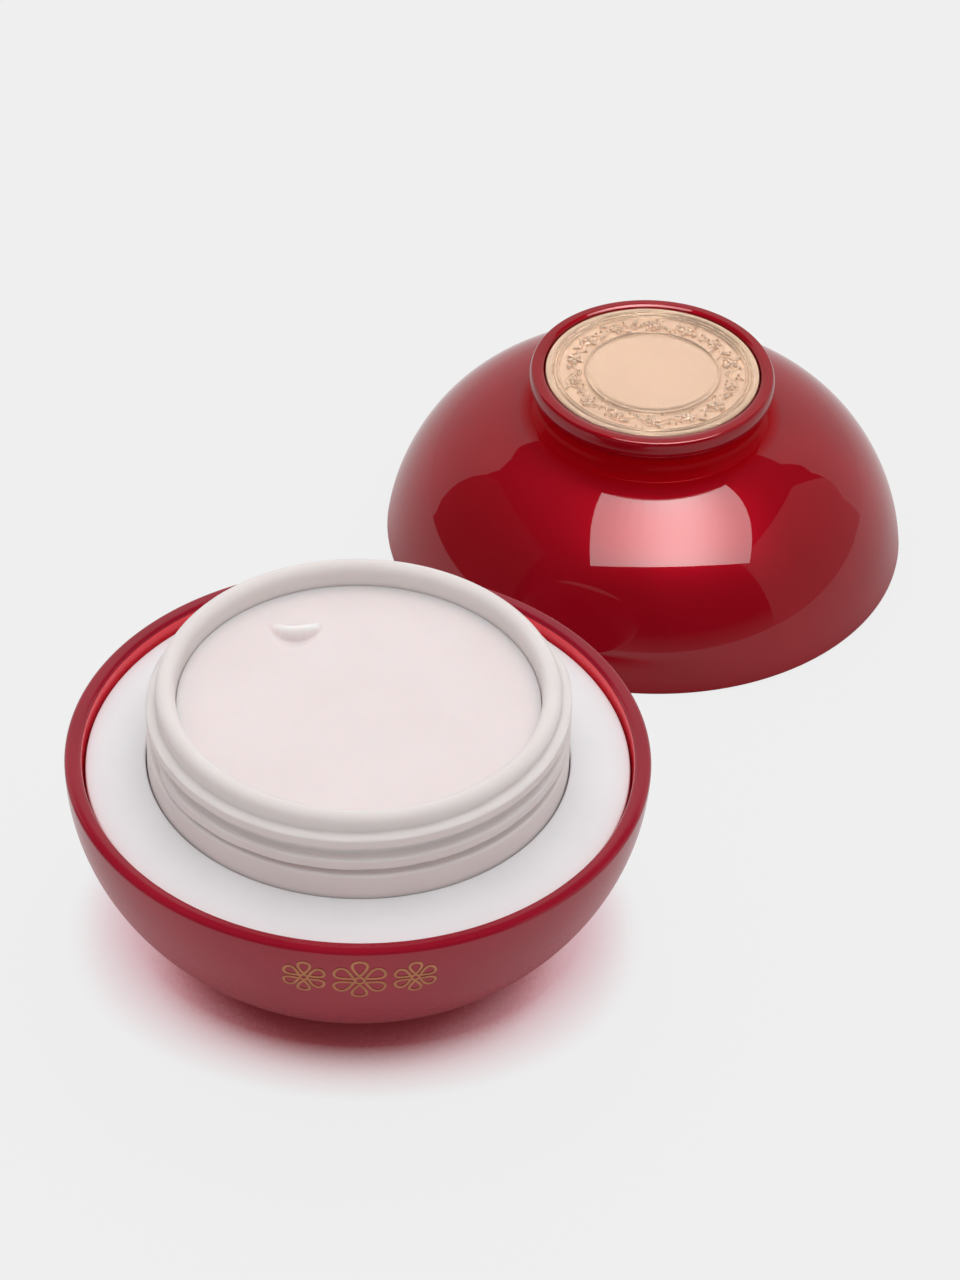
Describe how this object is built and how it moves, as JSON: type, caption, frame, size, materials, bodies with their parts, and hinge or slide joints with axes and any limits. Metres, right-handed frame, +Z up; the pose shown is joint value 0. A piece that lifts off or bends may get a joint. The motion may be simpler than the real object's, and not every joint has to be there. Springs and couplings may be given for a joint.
{
  "type": "cosmetic cream jar",
  "caption": "Round double-walled cream jar with a screw neck, shown open and full, with its domed screw lid standing on its rim beside it.",
  "frame": {"origin": "on the jar's axis, at the underside of its foot on the table", "axes": "+Z up along the jar's axis; the lid stands towards +X and +Y; -Y is the side with the printed ornament"},
  "size_m": [0.1088, 0.1567, 0.042],
  "materials": {
    "base_lacquer": "glossy translucent red",
    "ivory_plastic": "satin moulded",
    "satin_white": "satin",
    "cream": "soft moist cream",
    "lid_lacquer": "high gloss lacquer",
    "liner_plastic": "satin moulded",
    "foam": "matt closed-cell foam",
    "rose_gold": "satin plated, embossed",
    "adhesive": "matt"
  },
  "bodies": {
    "jar": {"base_shell": "base_lacquer", "inner_cup": "ivory_plastic", "shoulder_collar": "satin_white", "cream": "cream"},
    "gasket": {"lid_gasket": "foam"},
    "lid": {"lid_shell": "lid_lacquer", "lid_liner": "liner_plastic", "medallion": "rose_gold", "medallion_pad": "adhesive"}
  },
  "joints": [
    {"name": "lid_lift", "type": "slide", "parent": "jar", "child": "gasket", "axis": [0, 0, 1], "range_m": [0, 0.06]},
    {"name": "lid_turn", "type": "hinge", "parent": "gasket", "child": "lid", "pos_m": [0.03685, 0.08474, 0], "axis": [0, 0, 1], "continuous": true}
  ]
}
